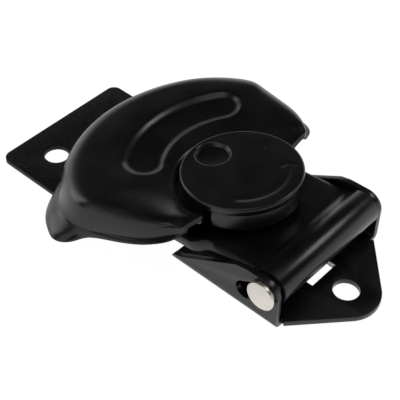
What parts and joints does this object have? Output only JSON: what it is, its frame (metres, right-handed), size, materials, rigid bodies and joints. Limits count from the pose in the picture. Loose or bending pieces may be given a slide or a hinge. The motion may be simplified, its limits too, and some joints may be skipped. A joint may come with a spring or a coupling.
{
  "type": "draw latch",
  "caption": "Rotary draw latch: a slotted base bracket, a sprung hinge pin, a swinging hinge plate and a half-moon handle on an eccentric rivet that draws in a hooked keeper plate.",
  "frame": {"origin": "centre of the base bracket's apex mounting hole, on the mounting surface", "axes": "+X points from the keeper to the base's apex, +Y along the hinge pin away from its head, +Z off the mounting surface"},
  "size_m": [0.1039, 0.079, 0.0207],
  "materials": {
    "black_coat": "smooth semi-gloss black coating",
    "matt_black_coat": "matt, slightly rough black coating",
    "plated_steel": "pale zinc plating",
    "spring_steel": "plain blued spring steel"
  },
  "bodies": {
    "base": {"base_bracket": "black_coat", "keeper_plate": "matt_black_coat", "return_spring": "spring_steel"},
    "pin": {"hinge_pin": "plated_steel"},
    "carrier": {"hinge_plate": "black_coat", "pivot_rivet": "black_coat", "rivet_washer": "plated_steel", "friction_washer": "plated_steel"},
    "handle": {"pivot_hub": "black_coat", "half_moon_handle": "black_coat", "dial_cap": "black_coat"}
  },
  "joints": [
    {"name": "pin_slide", "type": "slide", "parent": "base", "child": "pin", "axis": [-0.8572, 0, -0.515], "range_m": [0, 0.005], "stiffness_N_per_m": 3000, "springref_m": -0.001, "deforming": ["return_spring"]},
    {"name": "carrier_hinge", "type": "hinge", "parent": "pin", "child": "carrier", "pos_m": [-0.00934, 0, 0.01016], "axis": [0, 1, 0], "range_deg": [0, 105]},
    {"name": "handle_turn", "type": "hinge", "parent": "carrier", "child": "handle", "pos_m": [-0.04199, 0, 0.00702], "axis": [-0.0958, 0, 0.9954], "range_deg": [0, 50]}
  ]
}
